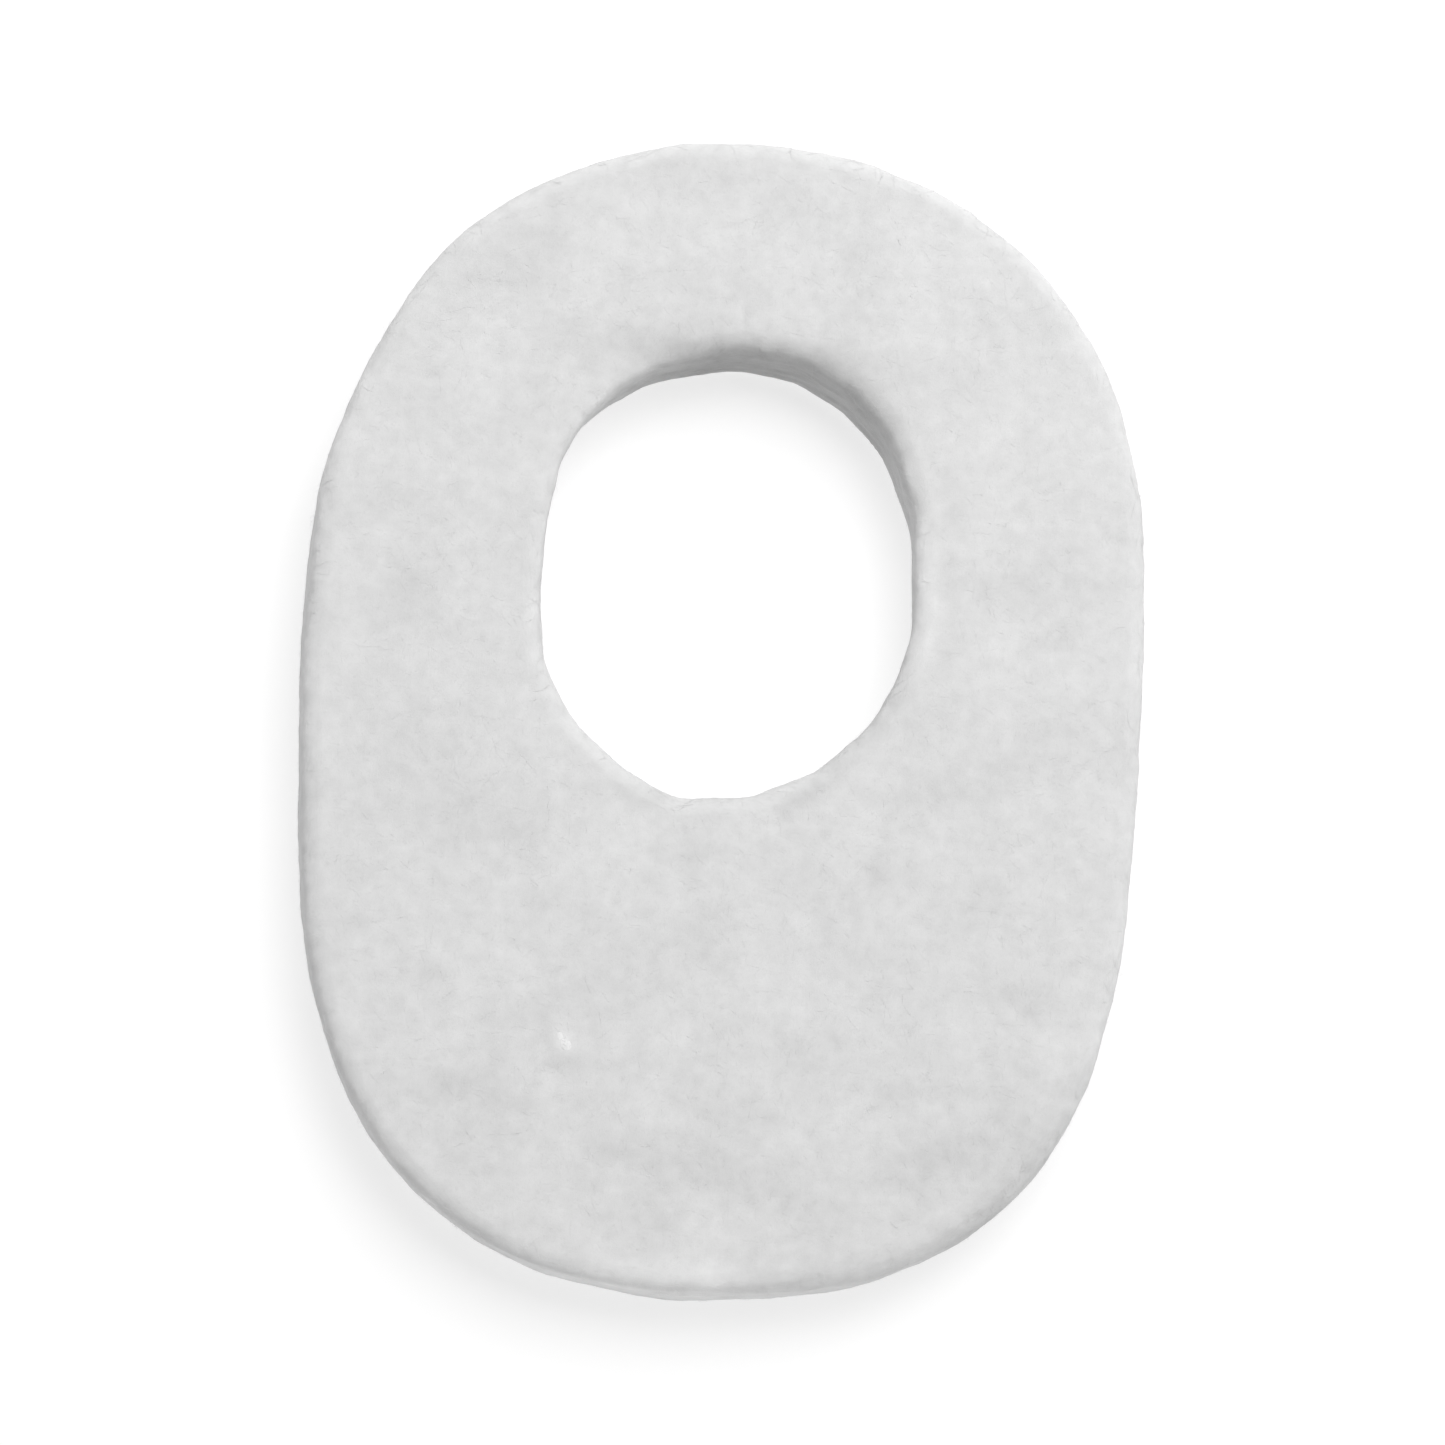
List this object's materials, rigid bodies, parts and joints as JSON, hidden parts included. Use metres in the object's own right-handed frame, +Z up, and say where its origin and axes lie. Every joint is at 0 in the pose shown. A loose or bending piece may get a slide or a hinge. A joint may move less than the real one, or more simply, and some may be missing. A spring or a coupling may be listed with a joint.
{
  "type": "felt foot pad",
  "caption": "Oval pad cut by hand from thick white felt, with an oval hole near one end that takes the pressure off a sore spot on the foot.",
  "frame": {"origin": "on the skin face, in the middle of the pad's length and width", "axes": "+Y along the pad towards the end with the hole, +Z up through the thickness, out of the shoe face"},
  "size_m": [0.0434, 0.06, 0.005],
  "materials": {
    "white_felt": "matt pressed wool felt, off-white, with a soft fuzzy nap and rounded cut rims"
  },
  "bodies": {
    "root": {"felt_pad": "white_felt"}
  },
  "joints": []
}
